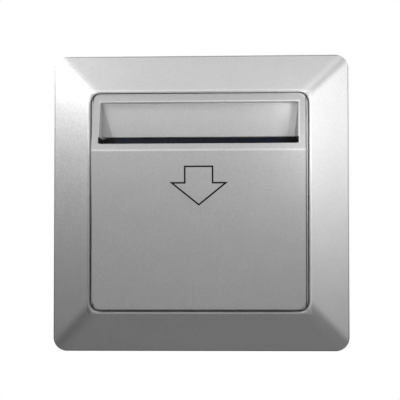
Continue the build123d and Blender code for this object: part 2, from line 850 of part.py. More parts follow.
def at_relay(x_low, x_high, low, high, z_low, z_high):
    """Block inside the relay, with heights off the rear board."""
    return block(relay_x + x_low, relay_x + x_high, rear_board_back + low, rear_board_back + high,
                 relay_z + z_low, relay_z + z_high)


def relay_rod(radius, low, high, x=0.0):
    """Round bar standing in the relay, with heights off the rear board."""
    return rod(radius, (relay_x + x, rear_board_back + low, relay_z),
               (relay_x + x, rear_board_back + high, relay_z))


def relay_case():
    """Dust cover of the relay."""
    x = relay_length / 2
    z = relay_width / 2
    body = at_relay(-x, x, 0, relay_height, -z, z)
    body = chamfer(body.edges().filter_by(Axis.Y) + body.edges().group_by(Axis.Y)[-1], relay_shell / 2)
    return body - at_relay(relay_shell - x, x - relay_shell, 0, relay_height - relay_shell,
                           relay_shell - z, z - relay_shell)


def relay_pins():
    """Solder pins of the relay, through the rear board."""
    pins = Part()
    half_x = relay_length / 2 - relay_pin_inset
    half_z = relay_width / 2 - relay_pin_inset
    foot = rear_board_face - pin_tail - rear_board_back
    wall = relay_pin_wall / 2
    wide = relay_pin_width / 2
    for x, z in ((-half_x, -half_z), (-half_x, half_z), (half_x, -half_z), (half_x, half_z), (half_x, 0)):
        pins += at_relay(x - wall, x + wall, foot, 0, z - wide, z + wide)
    return pins


def relay_base():
    """Moulded base of the relay."""
    x = relay_length / 2 - relay_shell - relay_slip
    z = relay_width / 2 - relay_shell - relay_slip
    return at_relay(-x, x, 0, relay_base_wall, -z, z)


def relay_yoke():
    """Bent iron yoke under and beside the coil."""
    foot = relay_base_wall
    half = yoke_width / 2
    reach = core_radius + yoke_foot_reach
    profile = Polyline((-yoke_offset, foot), (reach, foot), (reach, foot + yoke_foot),
                       (-yoke_offset + yoke_wall, foot + yoke_foot), (-yoke_offset + yoke_wall, yoke_height),
                       (-yoke_offset, yoke_height), close=True)
    face = Plane(origin=(relay_x, rear_board_back, relay_z - half)) * make_face(profile)
    return extrude(face, yoke_width)


def relay_core():
    """Iron core with its pole face."""
    foot = relay_base_wall + yoke_foot
    neck = pole_height - pole_wall
    return relay_rod(core_radius, foot, neck) + relay_rod(pole_radius, neck, pole_height)


def bobbin_levels():
    """Heights of the bobbin's foot and top off the rear board."""
    return relay_base_wall + yoke_foot, pole_height - pole_wall


def relay_bobbin():
    """Spool that carries the winding."""
    low, high = bobbin_levels()
    bore = core_radius + bobbin_bore_gap
    tube = bore + bobbin_tube
    body = relay_rod(tube, low, high)
    body += relay_rod(bobbin_flange_radius, low, low + bobbin_flange_wall)
    body += relay_rod(bobbin_flange_radius, high - bobbin_flange_wall, high)
    return body - relay_rod(bore, low - cut_past, high + cut_past)


def relay_winding():
    """Wound copper between the bobbin's flanges."""
    low, high = bobbin_levels()
    tube = core_radius + bobbin_bore_gap + bobbin_tube
    body = relay_rod(winding_radius, low + bobbin_flange_wall, high - bobbin_flange_wall)
    return body - relay_rod(tube, low, high)


def relay_armature():
    """Iron flap that the coil pulls down."""
    low = yoke_height + armature_gap
    start = -yoke_offset + yoke_wall - armature_tail
    return at_relay(start, start + armature_length, low, low + armature_wall, -yoke_width / 2, yoke_width / 2)


def relay_leaf():
    """Contact leaf on the armature, with the moving contact at its tip."""
    low = yoke_height + armature_gap + armature_wall
    half = leaf_width / 2
    body = at_relay(-leaf_root, contact_x + contact_radius, low, low + leaf_wall, -half, half)
    return body + relay_rod(contact_radius, low - armature_wall, low, x=contact_x)


def relay_contact():
    """Fixed contact on its bent strip."""
    top = yoke_height + armature_gap - contact_travel
    strip_top = top - contact_wall
    half = leaf_width / 2
    out = contact_x + contact_radius
    body = at_relay(contact_x - contact_radius, out, strip_top - contact_strip_wall, strip_top, -half, half)
    body += at_relay(out - contact_strip_wall, out, relay_base_wall, strip_top, -half, half)
    return body + relay_rod(contact_radius, strip_top, top, x=contact_x)


def film_capacitor():
    """Boxed film capacitor."""
    body = block(film_x - film_length / 2, film_x + film_length / 2, rear_board_back,
                 rear_board_back + film_height, film_z - film_width / 2, film_z + film_width / 2)
    return chamfer(body.edges().filter_by(Axis.Y), film_edge)


def smoothing_capacitor():
    """Drum capacitor with its rolled groove."""
    low = drum_groove_height
    neck = drum_radius - drum_groove
    profile = Polyline((0, 0), (drum_radius, 0), (drum_radius, low - drum_groove), (neck, low),
                       (drum_radius, low + drum_groove), (drum_radius, drum_height), (0, drum_height),
                       close=True)
    body = revolve(make_face(profile), Axis.Y)
    return Pos(drum_x, rear_board_back, drum_z) * body


def varistor():
    """Coated surge disc standing on two leads."""
    y = rear_board_back + disc_lift + disc_radius
    body = rod(disc_radius, (disc_x - disc_wall / 2, y, disc_z), (disc_x + disc_wall / 2, y, disc_z))
    for side in (-1, 1):
        z = disc_z + side * disc_radius / 2
        half = lead_wall / 2
        body += block(disc_x - half, disc_x + half, rear_board_back, y, z - half, z + half)
    return body


def bridge_rectifier():
    """Small rectifier block."""
    body = block(bridge_x - bridge_length / 2, bridge_x + bridge_length / 2, rear_board_back,
                 rear_board_back + bridge_height, bridge_z - bridge_width / 2, bridge_z + bridge_width / 2)
    return chamfer(body.edges().group_by(Axis.Y)[-1], bridge_edge)


def fuse_resistor():
    """Wire-ended fusible resistor lying along X, its leads bent down to the board."""
    y = rear_board_back + fuse_lift + fuse_radius
    half = fuse_length / 2
    body = rod(fuse_radius, (fuse_x - half, y, fuse_z), (fuse_x + half, y, fuse_z))
    wall = lead_wall / 2
    reach = half + fuse_lead_reach
    lead = block(fuse_x - reach, fuse_x + reach, rear_board_back, y + wall, fuse_z - wall, fuse_z + wall)
    lead -= block(fuse_x - reach + lead_wall, fuse_x + reach - lead_wall, rear_board_back, y - wall,
                  fuse_z - wall, fuse_z + wall)
    return body + lead


def rear_board():
    """Rear board: supply, relay and terminals."""
    body = block(-board_width / 2, board_width / 2, rear_board_face, rear_board_back,
                 -board_height / 2, board_height / 2)
    body += block(-board_tab_half, board_tab_half, rear_board_face, rear_board_back, board_tab_foot, 0)
    body -= board_holes(rear_board_face - cut_past, rear_board_back + cut_past)
    return body - link_pins() - relay_pins() - terminal_bars()


def terminal_bars():
    """Four bent bars, from the rear board into the terminals' cages."""
    bars = Part()
    bend_z = pole_outer_z + entry_wall + cavity_length + close_gap
    for x in pole_places:
        leg = bar_leg_width / 2
        half = bar_width / 2
        bars += block(x - leg, x + leg, rear_board_face - pin_tail, bar_face + bar_wall,
                      bend_z, bend_z + bar_wall)
        bars += block(x - half, x + half, bar_face, bar_face + bar_wall,
                      pole_outer_z + entry_wall + cage_end_gap, bend_z + bar_wall)
    return bars


def terminal_pole(x):
    """One terminal's moulded body: wire entry below, cage cavity, screw well behind."""
    top = housing_depth
    side = [(rear_board_back, pole_outer_z + pole_step), (pole_step_depth, pole_outer_z + pole_step),
            (pole_step_depth, pole_outer_z), (top, pole_outer_z), (top, pole_inner_z),
            (rear_board_back, pole_inner_z)]
    body = across(side, x - pole_pitch / 2, x + pole_pitch / 2)
    body = chamfer(body.edges().group_by(Axis.Y)[-1], terminal_edge)
    inside = pole_outer_z + entry_wall
    body -= block(x - cavity_half_width, x + cavity_half_width, cavity_floor, cavity_ceiling,
                  inside, inside + cavity_length)
    body -= rod(entry_radius, (x, wire_y, pole_outer_z - cut_past), (x, wire_y, inside + cut_past))
    body -= rod(screw_radius + screw_hole_gap, (x, cavity_ceiling - cut_past, screw_axis_z),
                (x, top, screw_axis_z))
    body -= rod(screw_well_radius, (x, screw_head_floor, screw_axis_z), (x, top + cut_past, screw_axis_z))
    bend_z = inside + cavity_length + close_gap
    slot = bar_width / 2 + bar_slip
    body -= block(x - slot, x + slot, rear_board_back - cut_past, bar_face + bar_wall + bar_slip,
                  inside + cavity_length - close_gap, bend_z + bar_wall + bar_slip)
    return body


def terminal_screw(x):
    """Clamp screw, turned from behind."""
    head = rod(screw_head_radius, (x, screw_head_floor, screw_axis_z),
               (x, screw_head_floor + screw_head_height, screw_axis_z))
    shank = rod(screw_radius, (x, bar_face + bar_wall + fit_clearance, screw_axis_z),
                (x, screw_head_floor, screw_axis_z))
    drive = Pos(x, 0, screw_axis_z) * cross_drive(screw_head_floor + screw_head_height,
                                                  screw_head_radius, drive_slot_depth)
    return head + shank - drive


def terminal_cage(x):
    """Rising clamp cage round the bar and the wire."""
    start = pole_outer_z + entry_wall + cage_end_gap
    roof = cage_rest + cage_floor + cage_opening
    outer = block(x - cage_half_width, x + cage_half_width, cage_rest, roof + cage_roof,
                  start, start + cage_length)
    outer = chamfer(outer.edges().filter_by(Axis.Z), cage_wall / 2)
    inner = cage_half_width - cage_wall
    outer -= block(x - inner, x + inner, cage_rest + cage_floor, roof,
                   start - cut_past, start + cage_length + cut_past)
    return outer - rod(screw_radius + screw_running, (x, roof - cut_past, screw_axis_z),
                       (x, roof + cage_roof + cut_past, screw_axis_z))


nodes = {
    "outer_frame": outer_frame(),
    "front_cover": front_cover(),
    "mounting_plate": mounting_plate(),
    "card_pocket": card_pocket(),
    "slot_lens": slot_lens(),
    "card_lever": card_lever(),
    "lever_pin": lever_pin(),
    "switch_case": switch_case(),
    "switch_plunger": switch_plunger(),
    "switch_pins": switch_pins(),
    "reader_board": reader_board(),
    "antenna_coil": antenna_coil(),
    "reader_chip": reader_chip(),
    "locator_leds": locator_leds(),
    "link_pins": link_pins(),
    "link_header": link_header(),
    "board_spacers": board_spacers(),
    "board_screws": board_screws(),
    "rear_board": rear_board(),
    "film_capacitor": film_capacitor(),
    "smoothing_capacitor": smoothing_capacitor(),
    "varistor": varistor(),
    "bridge_rectifier": bridge_rectifier(),
    "fuse_resistor": fuse_resistor(),
    "relay_base": relay_base(),
    "relay_case": relay_case(),
    "relay_pins": relay_pins(),
    "relay_yoke": relay_yoke(),
    "relay_core": relay_core(),
    "relay_bobbin": relay_bobbin(),
    "relay_winding": relay_winding(),
    "relay_armature": relay_armature(),
    "relay_leaf": relay_leaf(),
    "relay_contact": relay_contact(),
    "rear_housing": rear_housing(),
    "housing_screws": housing_screws(),
    "terminal_bars": terminal_bars(),
}
for number, place in enumerate(pole_places, start=1):
    nodes[f"terminal_pole_{number}"] = terminal_pole(place)
    nodes[f"terminal_screw_{number}"] = terminal_screw(place)
    nodes[f"terminal_cage_{number}"] = terminal_cage(place)

os.makedirs("parts", exist_ok=True)
for name, shape in nodes.items():
    export_step(shape, f"parts/{name}.step")
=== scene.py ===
import bmesh
import bpy
import json
from math import cos, pi, radians, sin
from mathutils import Matrix, Vector


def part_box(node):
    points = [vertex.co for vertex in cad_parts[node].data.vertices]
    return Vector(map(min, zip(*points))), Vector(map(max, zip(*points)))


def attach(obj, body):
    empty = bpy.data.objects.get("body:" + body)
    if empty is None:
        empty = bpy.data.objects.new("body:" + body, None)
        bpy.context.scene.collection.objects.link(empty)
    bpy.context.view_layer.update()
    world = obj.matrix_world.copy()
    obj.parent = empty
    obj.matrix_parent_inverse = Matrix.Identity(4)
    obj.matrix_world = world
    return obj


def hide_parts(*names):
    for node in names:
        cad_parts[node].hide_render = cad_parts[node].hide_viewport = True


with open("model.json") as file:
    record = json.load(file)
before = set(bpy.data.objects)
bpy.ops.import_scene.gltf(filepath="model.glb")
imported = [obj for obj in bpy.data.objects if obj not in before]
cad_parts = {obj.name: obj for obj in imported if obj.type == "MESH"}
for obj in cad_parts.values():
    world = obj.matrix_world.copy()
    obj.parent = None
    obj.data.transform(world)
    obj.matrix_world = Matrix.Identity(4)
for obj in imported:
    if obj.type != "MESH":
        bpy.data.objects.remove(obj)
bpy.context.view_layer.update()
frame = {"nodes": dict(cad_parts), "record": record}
nodes = frame["nodes"]
mm = 0.001


class Value:
    """A number socket of a finish: arithmetic on it adds Math nodes."""

    def __init__(self, finish, socket):
        self.finish = finish
        self.socket = socket

    def math(self, operation, *others):
        """Result of a Math node on this number and others."""
        numbers = dict(enumerate((self, *others)))
        node = self.finish.node("ShaderNodeMath", {"operation": operation}, numbers)
        return Value(self.finish, node.outputs[0])

    def __add__(self, other):
        return self.math("ADD", other)

    def __mul__(self, other):
        return self.math("MULTIPLY", other)

    def __sub__(self, other):
        return self.math("SUBTRACT", other)

    def __rsub__(self, other):
        return self * -1.0 + other

    def __gt__(self, other):
        return self.math("GREATER_THAN", other)

    def __lt__(self, other):
        return self.math("LESS_THAN", other)

    def __abs__(self):
        return self.math("ABSOLUTE")

    __radd__ = __add__

    def within(self, low, high):
        """1 between two levels, and 0 outside them."""
        return (self > low) * (self < high)


class Finish:
    """One material: its shader, and the nodes that vary it over the piece."""

    def __init__(self, name, colour, roughness, **constants):
        self.material = bpy.data.materials.new(name)
        self.material.use_nodes = True
        self.tree = self.material.node_tree
        self.shader = self.tree.nodes["Principled BSDF"]
        self.material.diffuse_color = (*colour, 1.0)
        self.set("Base Color", (*colour, 1.0))
        self.set("Roughness", roughness)
        for socket, value in constants.items():
            self.set(socket.replace("_", " ").title().replace("Ior", "IOR"), value)
        self.place = self.node("ShaderNodeTexCoord").outputs["Object"]

    def node(self, kind, settings=None, sockets=None):
        """New node of the material, with its settings made and its sockets fed."""
        made = self.tree.nodes.new(kind)
        for name, value in (settings or {}).items():
            setattr(made, name, value)
        for name, value in (sockets or {}).items():
            self.feed(made.inputs[name], value)
        return made

    def feed(self, socket, value):
        """Links a socket to a value that comes from a node, or gives it a fixed one."""
        if isinstance(value, Value):
            value = value.socket
        if isinstance(value, bpy.types.NodeSocket):
            self.tree.links.new(value, socket)
        else:
            socket.default_value = value

    def set(self, name, value):
        """Feeds one of the shader's sockets."""
        self.feed(self.shader.inputs[name], value)

    def noise(self, size, detail=3.0, stretch=(1.0, 1.0, 1.0)):
        """Soft noise from 0 to 1 whose blotches are about size across, in metres."""
        place = self.node("ShaderNodeMapping", {}, {"Vector": self.place, "Scale": stretch})
        node = self.node("ShaderNodeTexNoise", {},
                         {"Vector": place.outputs[0], "Scale": 1.0 / size, "Detail": detail})
        return Value(self, node.outputs["Fac"])

    def cells(self, size):
        """Distance to the nearest of the points scattered about size apart, in cells."""
        node = self.node("ShaderNodeTexVoronoi", {}, {"Vector": self.place, "Scale": 1.0 / size})
        return Value(self, node.outputs["Distance"])

    def axis(self, letter):
        """One coordinate of the place on the piece, in metres."""
        split = self.node("ShaderNodeSeparateXYZ", {}, {"Vector": self.place})
        return Value(self, split.outputs[letter])

    def ramp(self, value, low, high, start=0.0, end=1.0):
        """Level that goes from start to end as a value goes from low to high."""
        node = self.node("ShaderNodeMapRange", {"interpolation_type": "SMOOTHSTEP"},
                         {"Value": value, "From Min": low, "From Max": high, "To Min": start, "To Max": end})
        return Value(self, node.outputs["Result"])

    def blend(self, amount, first, second):
        """Colour between two others."""
        node = self.node("ShaderNodeMix", {"data_type": "RGBA"}, {0: amount})
        self.feed(node.inputs[6], first)
        self.feed(node.inputs[7], second)
        return node.outputs[2]

    def bump(self, height, depth, facing=None):
        """Fine relief, over the mesh's own facing or over another one."""
        node = self.node("ShaderNodeBump", {}, {"Height": height, "Distance": depth})
        if facing is not None:
            self.feed(node.inputs["Normal"], facing)
        self.set("Normal", node.outputs["Normal"])

    def vector(self, x, y, z):
        """Direction from its three parts."""
        return self.node("ShaderNodeCombineXYZ", {}, {"X": x, "Y": y, "Z": z}).outputs[0]

    def mix_ways(self, amount, first, second):
        """Direction between two others."""
        node = self.node("ShaderNodeMix", {"data_type": "VECTOR"}, {0: amount})
        self.feed(node.inputs[4], first)
        self.feed(node.inputs[5], second)
        unit = self.node("ShaderNodeVectorMath", {"operation": "NORMALIZE"}, {0: node.outputs[1]})
        return unit.outputs[0]


def grained(name, colour, roughness, grain=0.25 * mm, depth=0.006 * mm, shade=0.06, **constants):
    """Moulded plastic with a spark-eroded grain and a little unevenness in its colour and gloss."""
    finish = Finish(name, colour, roughness, **constants)
    fine = finish.noise(grain)
    broad = finish.noise(14 * mm, 2.0)
    dark = [level * (1.0 - shade) for level in colour]
    light = [min(1.0, level * (1.0 + shade)) for level in colour]
    finish.set("Base Color", finish.blend(broad * 0.6 + fine * 0.4, (*dark, 1.0), (*light, 1.0)))
    finish.set("Roughness", finish.ramp(broad, 0.3, 0.7, roughness - 0.05, roughness + 0.05))
    finish.bump(fine, depth)
    return finish


def metal(name, colour, roughness, stretch=(1.0, 1.0, 1.0), depth=0.003 * mm):
    """Bare metal with drawing marks along one way and a dull film in patches."""
    finish = Finish(name, colour, roughness, metallic=1.0)
    marks = finish.noise(0.18 * mm, 4.0, stretch)
    film = finish.noise(2.5 * mm, 3.0)
    dull = [level * 0.78 for level in colour]
    finish.set("Base Color", finish.blend(finish.ramp(film, 0.45, 0.75), (*colour, 1.0), (*dull, 1.0)))
    finish.set("Roughness", roughness + finish.ramp(film, 0.35, 0.8, 0.0, 0.16) + marks * 0.06)
    finish.bump(marks, depth)
    return finish


# Places on the front where light and shade are painted into the paint's tone: x goes across, z up, and y from
# the room to the wall
# Card window and the recess behind it: painted light over the recess, and painted shade in slanting triangles
# at its two ends
window_half, window_top, ceiling_top = 28.8 * mm, 28.6 * mm, 28.8 * mm
recess_foot, recess_front = 18.8 * mm, -9.0 * mm
end_reach, left_end_slant, right_end_slant = 28.4 * mm, 0.3, 0.12
bright_end, white_end = (20 * mm, 27.5 * mm), (24 * mm, 27.5 * mm)
# Painted highlight along the window's border, on its top and its right side
border_start, border_end, border_top, border_foot = 28.75 * mm, 29.05 * mm, 29.1 * mm, 16.4 * mm
border_front, border_across = -9.85 * mm, (-29 * mm, 29 * mm, 0.4, 0.7)
# Ridge between the window's lip and the lower face, which takes a painted highlight
crest_height, crest_half, crest_front = 14.4 * mm, 0.3 * mm, -14.8 * mm
# Slot, painted near black as shade, with the painted shade lower at its two ends
slot_half, slot_foot, slot_top, slot_front = 28.72 * mm, 16.45 * mm, 19.05 * mm, -14.6 * mm
slot_end, slot_end_drop = 28.3 * mm, -0.7 * mm
# Frame: painted highlight on the flat rim round its opening, painted shade on the rim at the left, and
# painted highlight on the lip above the cover
rim_start, rim_end, rim_front = 31.42 * mm, 32.3 * mm, -8.9 * mm
shaded_rim_edge, shaded_rim_up = -31.3 * mm, (20 * mm, 8 * mm)
lip_end, lip_foot = 31.7 * mm, 31.4 * mm
# Painted light in the groove round the cover, painted shadow in the seam at the cover's two sides, and
# painted shade on the frame's outer edge
groove_start, groove_end, groove_front, groove_up = 30.9 * mm, 31.6 * mm, -8.5 * mm, (-20 * mm, 20 * mm)
seam_start, seam_end, seam_front, seam_half_height = 30.5 * mm, 30.9 * mm, -8.7 * mm, 31.0 * mm
outline_start, outline_front, outline_back = 42.68 * mm, -2.95 * mm, -2.35 * mm
# The frame's slopes: the outward and frontward share of their facing, and how one is told from the rest
slope_out, slope_front = 0.552, 0.834
facing_middle, facing_spread, slope_start = 0.87, 0.07, 32.2 * mm
# Mitres: how far the turn reaches to each side, and the half of the upper right one that takes a painted
# highlight
mitre_reach, mitre_in, mitre_out, upper_right = 5.0 * mm, (0.25, 0.6), (1.0, 0.6), (0.0, 30 * mm)
# Left slope, where light grazes the flake: its mottle is painted stronger there
graze_across, graze_up = (-30 * mm, -34 * mm), (-22 * mm, -2 * mm)


def cover_tones(finish, x, depth, height):
    """The centre cover by place, as painted light and shade: how much lighter, how near to white, and where
    the slot is painted near black as shade.
    """
    across = abs(x)
    recess = (across < window_half) * height.within(recess_foot, window_top) * (depth > recess_front)
    # Slanting triangles at the recess's two ends, which take painted shade
    left_end = recess * (x < (window_top - height) * left_end_slant - end_reach)
    right_end = recess * (x > (height - window_top) * right_end_slant + end_reach)
    # Ridge crest, which takes a painted highlight
    crest = (abs(height - crest_height) < crest_half) * (depth < crest_front)
    # The window's ceiling, which faces down into shade and takes painted light
    ceiling = (across < window_half) * height.within(window_top, ceiling_top) * (depth > border_front)
    # Painted light over the recess, more towards its right, and painted shade on its two ends
    lighter = recess * 0.18 + recess * finish.ramp(x, *bright_end) * 0.3
    lighter = lighter - left_end * 0.3 - right_end * 0.5 + crest * 0.3 + ceiling * 0.3

    # Painted light, near white, on the recess's right end where shade falls
    painted_light_end = (recess - right_end) * finish.ramp(x, *white_end)
    # Painted highlight along the window's top and right border
    top_line = (height > border_start) * (across < border_end) * finish.ramp(x, *border_across)
    right_line = x.within(border_start, border_end) * (height > border_foot) * 0.45
    border = top_line.math("MAXIMUM", right_line) * (height < border_top) * (depth < border_front)
    white = ceiling + painted_light_end + border

    # The slot's inside, painted near black as shade
    slot_roof = (across > slot_end) * slot_end_drop + slot_top
    slot = (across < slot_half) * height.within(slot_foot, slot_roof) * (depth > slot_front)
    return lighter, white, slot


def frame_tones(finish, x, depth, height, mitre):
    """The outer frame by place, as painted light and shade: how much lighter, how near to white, and where
    the side seams take a painted shadow.
    """
    across = abs(x)
    out = across.math("MAXIMUM", abs(height))
    # The frame's outer edge, which takes painted shade
    outer_edge_shade = (out > outline_start) * depth.within(outline_front, outline_back)
    # Painted highlight on the rim, with painted shade on its left side
    rim = out.within(rim_start, rim_end) * (depth < rim_front)
    shaded_rim = rim * (x < shaded_rim_edge) * finish.ramp(height, *shaded_rim_up)
    # The groove round the cover, which takes painted light
    groove = out.within(groove_start, groove_end) * (depth > groove_front)
    # Painted highlight on the upper right mitre
    light_mitre = mitre * finish.ramp(x, *upper_right) * finish.ramp(height, *upper_right)
    lighter = rim * 0.3 - shaded_rim * 0.5 + groove * 0.4 - outer_edge_shade * 0.6 + light_mitre * 0.35

    # Painted highlight on the lip above the cover
    upper_lip = out.within(rim_start, lip_end) * (depth < rim_front) * (height > lip_foot)
    white = upper_lip + groove * finish.ramp(height, *groove_up)

    # Painted shadow in the seam at the cover's two sides
    seam_shadow = across.within(seam_start, seam_end) * (depth > seam_front) * (abs(height) < seam_half_height)
    return lighter, white, seam_shadow


def silver_paint():
    """Satin silver paint: metal flake in a clear binder, with a faint orange peel."""
    finish = Finish("silver_paint", (0.53, 0.53, 0.53), 0.42, metallic=0.5)
    flake = finish.noise(0.4 * mm, 5.0)
    cloud = finish.noise(5 * mm, 3.0)
    sparkle = finish.cells(0.22 * mm)
    x, depth, height = finish.axis("X"), finish.axis("Y"), finish.axis("Z")
    out = abs(x).math("MAXIMUM", abs(height))

    # The frame's four slopes, and how far each place on them has turned from a side slope to an end slope
    own = finish.node("ShaderNodeNewGeometry").outputs["Normal"]
    frontward = Value(finish, finish.node("ShaderNodeSeparateXYZ", {}, {0: own}).outputs["Y"])
    sloped = (abs(frontward + facing_middle) < facing_spread) * (out > slope_start)
    turned = finish.ramp(abs(height) - abs(x), -mitre_reach, mitre_reach)
    mitre = sloped * finish.ramp(turned, *mitre_in) * finish.ramp(turned, *mitre_out)

    # Flake mottle painted stronger where light grazes the upper left slope
    grazed = sloped * finish.ramp(x, *graze_across) * finish.ramp(height, *graze_up)
    tone = finish.ramp(flake, 0.25, 0.75, -0.5, 0.5) * 0.17
    tone = tone + finish.ramp(cloud, 0.3, 0.7, -0.5, 0.5) * 0.03
    tone = tone * (grazed * 0.9 + 1.0) + (sparkle < 0.22) * 0.05

    # Light and shade painted into the tone at places on the cover and the frame
    cover_lighter, cover_white, slot = cover_tones(finish, x, depth, height)
    frame_lighter, frame_white, seam_shadow = frame_tones(finish, x, depth, height, mitre)
    level = tone + cover_lighter + frame_lighter + 0.5
    colour = finish.blend(level, (0.30, 0.30, 0.30, 1.0), (0.76, 0.76, 0.76, 1.0))
    white = (cover_white + frame_white).math("MINIMUM", 1.0)
    colour = finish.blend(white, colour, (0.95, 0.95, 0.95, 1.0))
    # Painted shade: the slot near black, and the side seams dark
    colour = finish.blend(slot, colour, (0.008, 0.008, 0.011, 1.0))
    finish.set("Base Color", finish.blend(seam_shadow, colour, (0.10, 0.10, 0.10, 1.0)))
    finish.set("Roughness", finish.ramp(flake, 0.2, 0.8, 0.38, 0.48))

    # The slopes run into each other over a wide soft mitre
    to_side = finish.vector(x.math("SIGN"), 0.0, 0.0)
    to_end = finish.vector(0.0, 0.0, height.math("SIGN"))
    sideways = finish.mix_ways(turned, to_side, to_end)
    round_mitre = finish.node("ShaderNodeVectorMath", {"operation": "MULTIPLY_ADD"},
                              {0: sideways, 1: (slope_out,) * 3, 2: (0.0, -slope_front, 0.0)})
    facing = finish.mix_ways(sloped, own, round_mitre.outputs[0])
    finish.bump(flake * 0.7 + cloud * 0.3, 0.006 * mm, facing)
    return finish


# Boards: pitch of the copper tracks and of the glass weave, and the parts whose outline is printed on them
track_pitch_across, track_pitch_up, weave_pitch = 2.2 * mm, 3.1 * mm, 0.4 * mm
legend_start, legend_end = 0.15 * mm, 0.33 * mm
outlined_parts = ("relay_case", "film_capacitor", "bridge_rectifier", "varistor", "smoothing_capacitor",
                  "reader_chip")


def waves(value, pitch):
    """Sine of a coordinate that is nought at every pitch."""
    return (value * (pi / pitch)).math("SINE")


def circuit_board():
    """Green solder resist over copper tracks, with a glass weave under it and printed outlines."""
    finish = Finish("circuit_board", (0.03, 0.17, 0.07), 0.32, coat_weight=0.4)
    x = finish.axis("X")
    z = finish.axis("Z")
    across = abs(waves(x, track_pitch_across))
    along = abs(waves(z, track_pitch_up))
    patch = finish.noise(7 * mm, 1.0)
    track = finish.ramp(across, 0.72, 0.8) * finish.ramp(patch, 0.46, 0.5)
    track = track.math("MAXIMUM", finish.ramp(along, 0.76, 0.84) * finish.ramp(patch, 0.5, 0.46))
    weave = waves(x, weave_pitch) * waves(z, weave_pitch)
    green = finish.blend(track, (0.022, 0.13, 0.055, 1.0), (0.06, 0.30, 0.12, 1.0))
    legend = 0.0
    for node in outlined_parts:
        low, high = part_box(node)
        aside = abs(x - (low.x + high.x) / 2) - (high.x - low.x) / 2
        above = abs(z - (low.z + high.z) / 2) - (high.z - low.z) / 2
        away = aside.math("MAXIMUM", above)
        legend = away.within(legend_start, legend_end) + legend
    finish.set("Base Color", finish.blend(legend.math("MINIMUM", 1.0), green, (0.75, 0.76, 0.72, 1.0)))
    finish.set("Roughness", finish.ramp(weave, -1.0, 1.0, 0.28, 0.38))
    finish.bump(track + weave * 0.12, 0.03 * mm)
    return finish


def smoked_lens():
    """Polished smoked light guide."""
    finish = Finish("smoked_lens", (0.006, 0.008, 0.018), 0.3, specular_ior_level=0.12)
    haze = finish.noise(3 * mm, 2.0)
    finish.set("Base Color", finish.blend(haze, (0.004, 0.006, 0.014, 1.0), (0.009, 0.012, 0.024, 1.0)))
    finish.set("Roughness", finish.ramp(haze, 0.3, 0.7, 0.26, 0.36))
    return finish


# The smoothing capacitor: depth and radius of its bare top, its scored cross, and its stripe
can_top_depth, can_top_radius, score_half = 0.25 * mm, 3.5 * mm, 0.12 * mm
stripe_start, stripe_half = 2.6 * mm, 2.6 * mm


def sleeved_can():
    """Dark sleeve with a pale stripe down one side, and a bare scored top."""
    finish = grained("aluminium_can", (0.03, 0.035, 0.06), 0.3, 0.5 * mm, 0.002 * mm, 0.12, coat_weight=0.3)
    low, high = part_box("smoothing_capacitor")
    x = finish.axis("X") - (low.x + high.x) / 2
    z = finish.axis("Z") - (low.z + high.z) / 2
    radius = (x * x + z * z).math("SQRT")
    top = (finish.axis("Y") > high.y - can_top_depth) * (radius < can_top_radius)
    score = (abs(x) < score_half) + (abs(z) < score_half)
    stripe = (x > stripe_start) * (abs(z) < stripe_half)
    dark = finish.shader.inputs["Base Color"].links[0].from_socket
    sleeve = finish.blend(stripe, dark, (0.5, 0.52, 0.55, 1.0))
    bare = finish.blend(score.math("MINIMUM", 1.0), (0.66, 0.67, 0.69, 1.0), (0.16, 0.16, 0.17, 1.0))
    finish.set("Base Color", finish.blend(top, sleeve, bare))
    finish.set("Metallic", top * 0.9)
    return finish


wire_pitch = 0.11 * mm


def wound_copper():
    """Enamelled copper wire, seen as close turns."""
    finish = Finish("wound_copper", (0.62, 0.27, 0.11), 0.3, metallic=0.85, coat_weight=0.3)
    turns = waves(finish.axis("Y"), wire_pitch)
    film = finish.noise(1.2 * mm, 2.0)
    # Colour painted darker between the turns and lighter on their crowns, as shade and highlight on the round
    # wire
    colour = finish.blend(turns * 0.5 + 0.5, (0.40, 0.15, 0.06, 1.0), (0.72, 0.33, 0.14, 1.0))
    finish.set("Base Color", colour)
    finish.set("Roughness", finish.ramp(film, 0.3, 0.7, 0.24, 0.36))
    finish.bump(turns, 0.03 * mm)
    return finish


band_half, band_spacing = 0.4 * mm, 1.6 * mm


def banded_resistor(middle, spacing):
    """Coated resistor body with plain colour bands round it."""
    finish = Finish("grey_ceramic", (0.40, 0.46, 0.48), 0.4, coat_weight=0.2)
    x = finish.axis("X")
    grain = finish.noise(0.3 * mm)
    colour = finish.blend(grain, (0.36, 0.42, 0.44, 1.0), (0.46, 0.52, 0.54, 1.0))
    brown, black, gold = (0.30, 0.12, 0.05), (0.02, 0.02, 0.02), (0.55, 0.42, 0.10)
    for step, band in ((-1.5, brown), (-0.5, black), (0.5, black), (1.5, gold)):
        away = abs(x - (middle + step * spacing))
        colour = finish.blend(away < band_half, colour, (*band, 1.0))
    finish.set("Base Color", colour)
    finish.set("Roughness", finish.ramp(grain, 0.2, 0.8, 0.34, 0.46))
    finish.bump(grain, 0.01 * mm)
    return finish


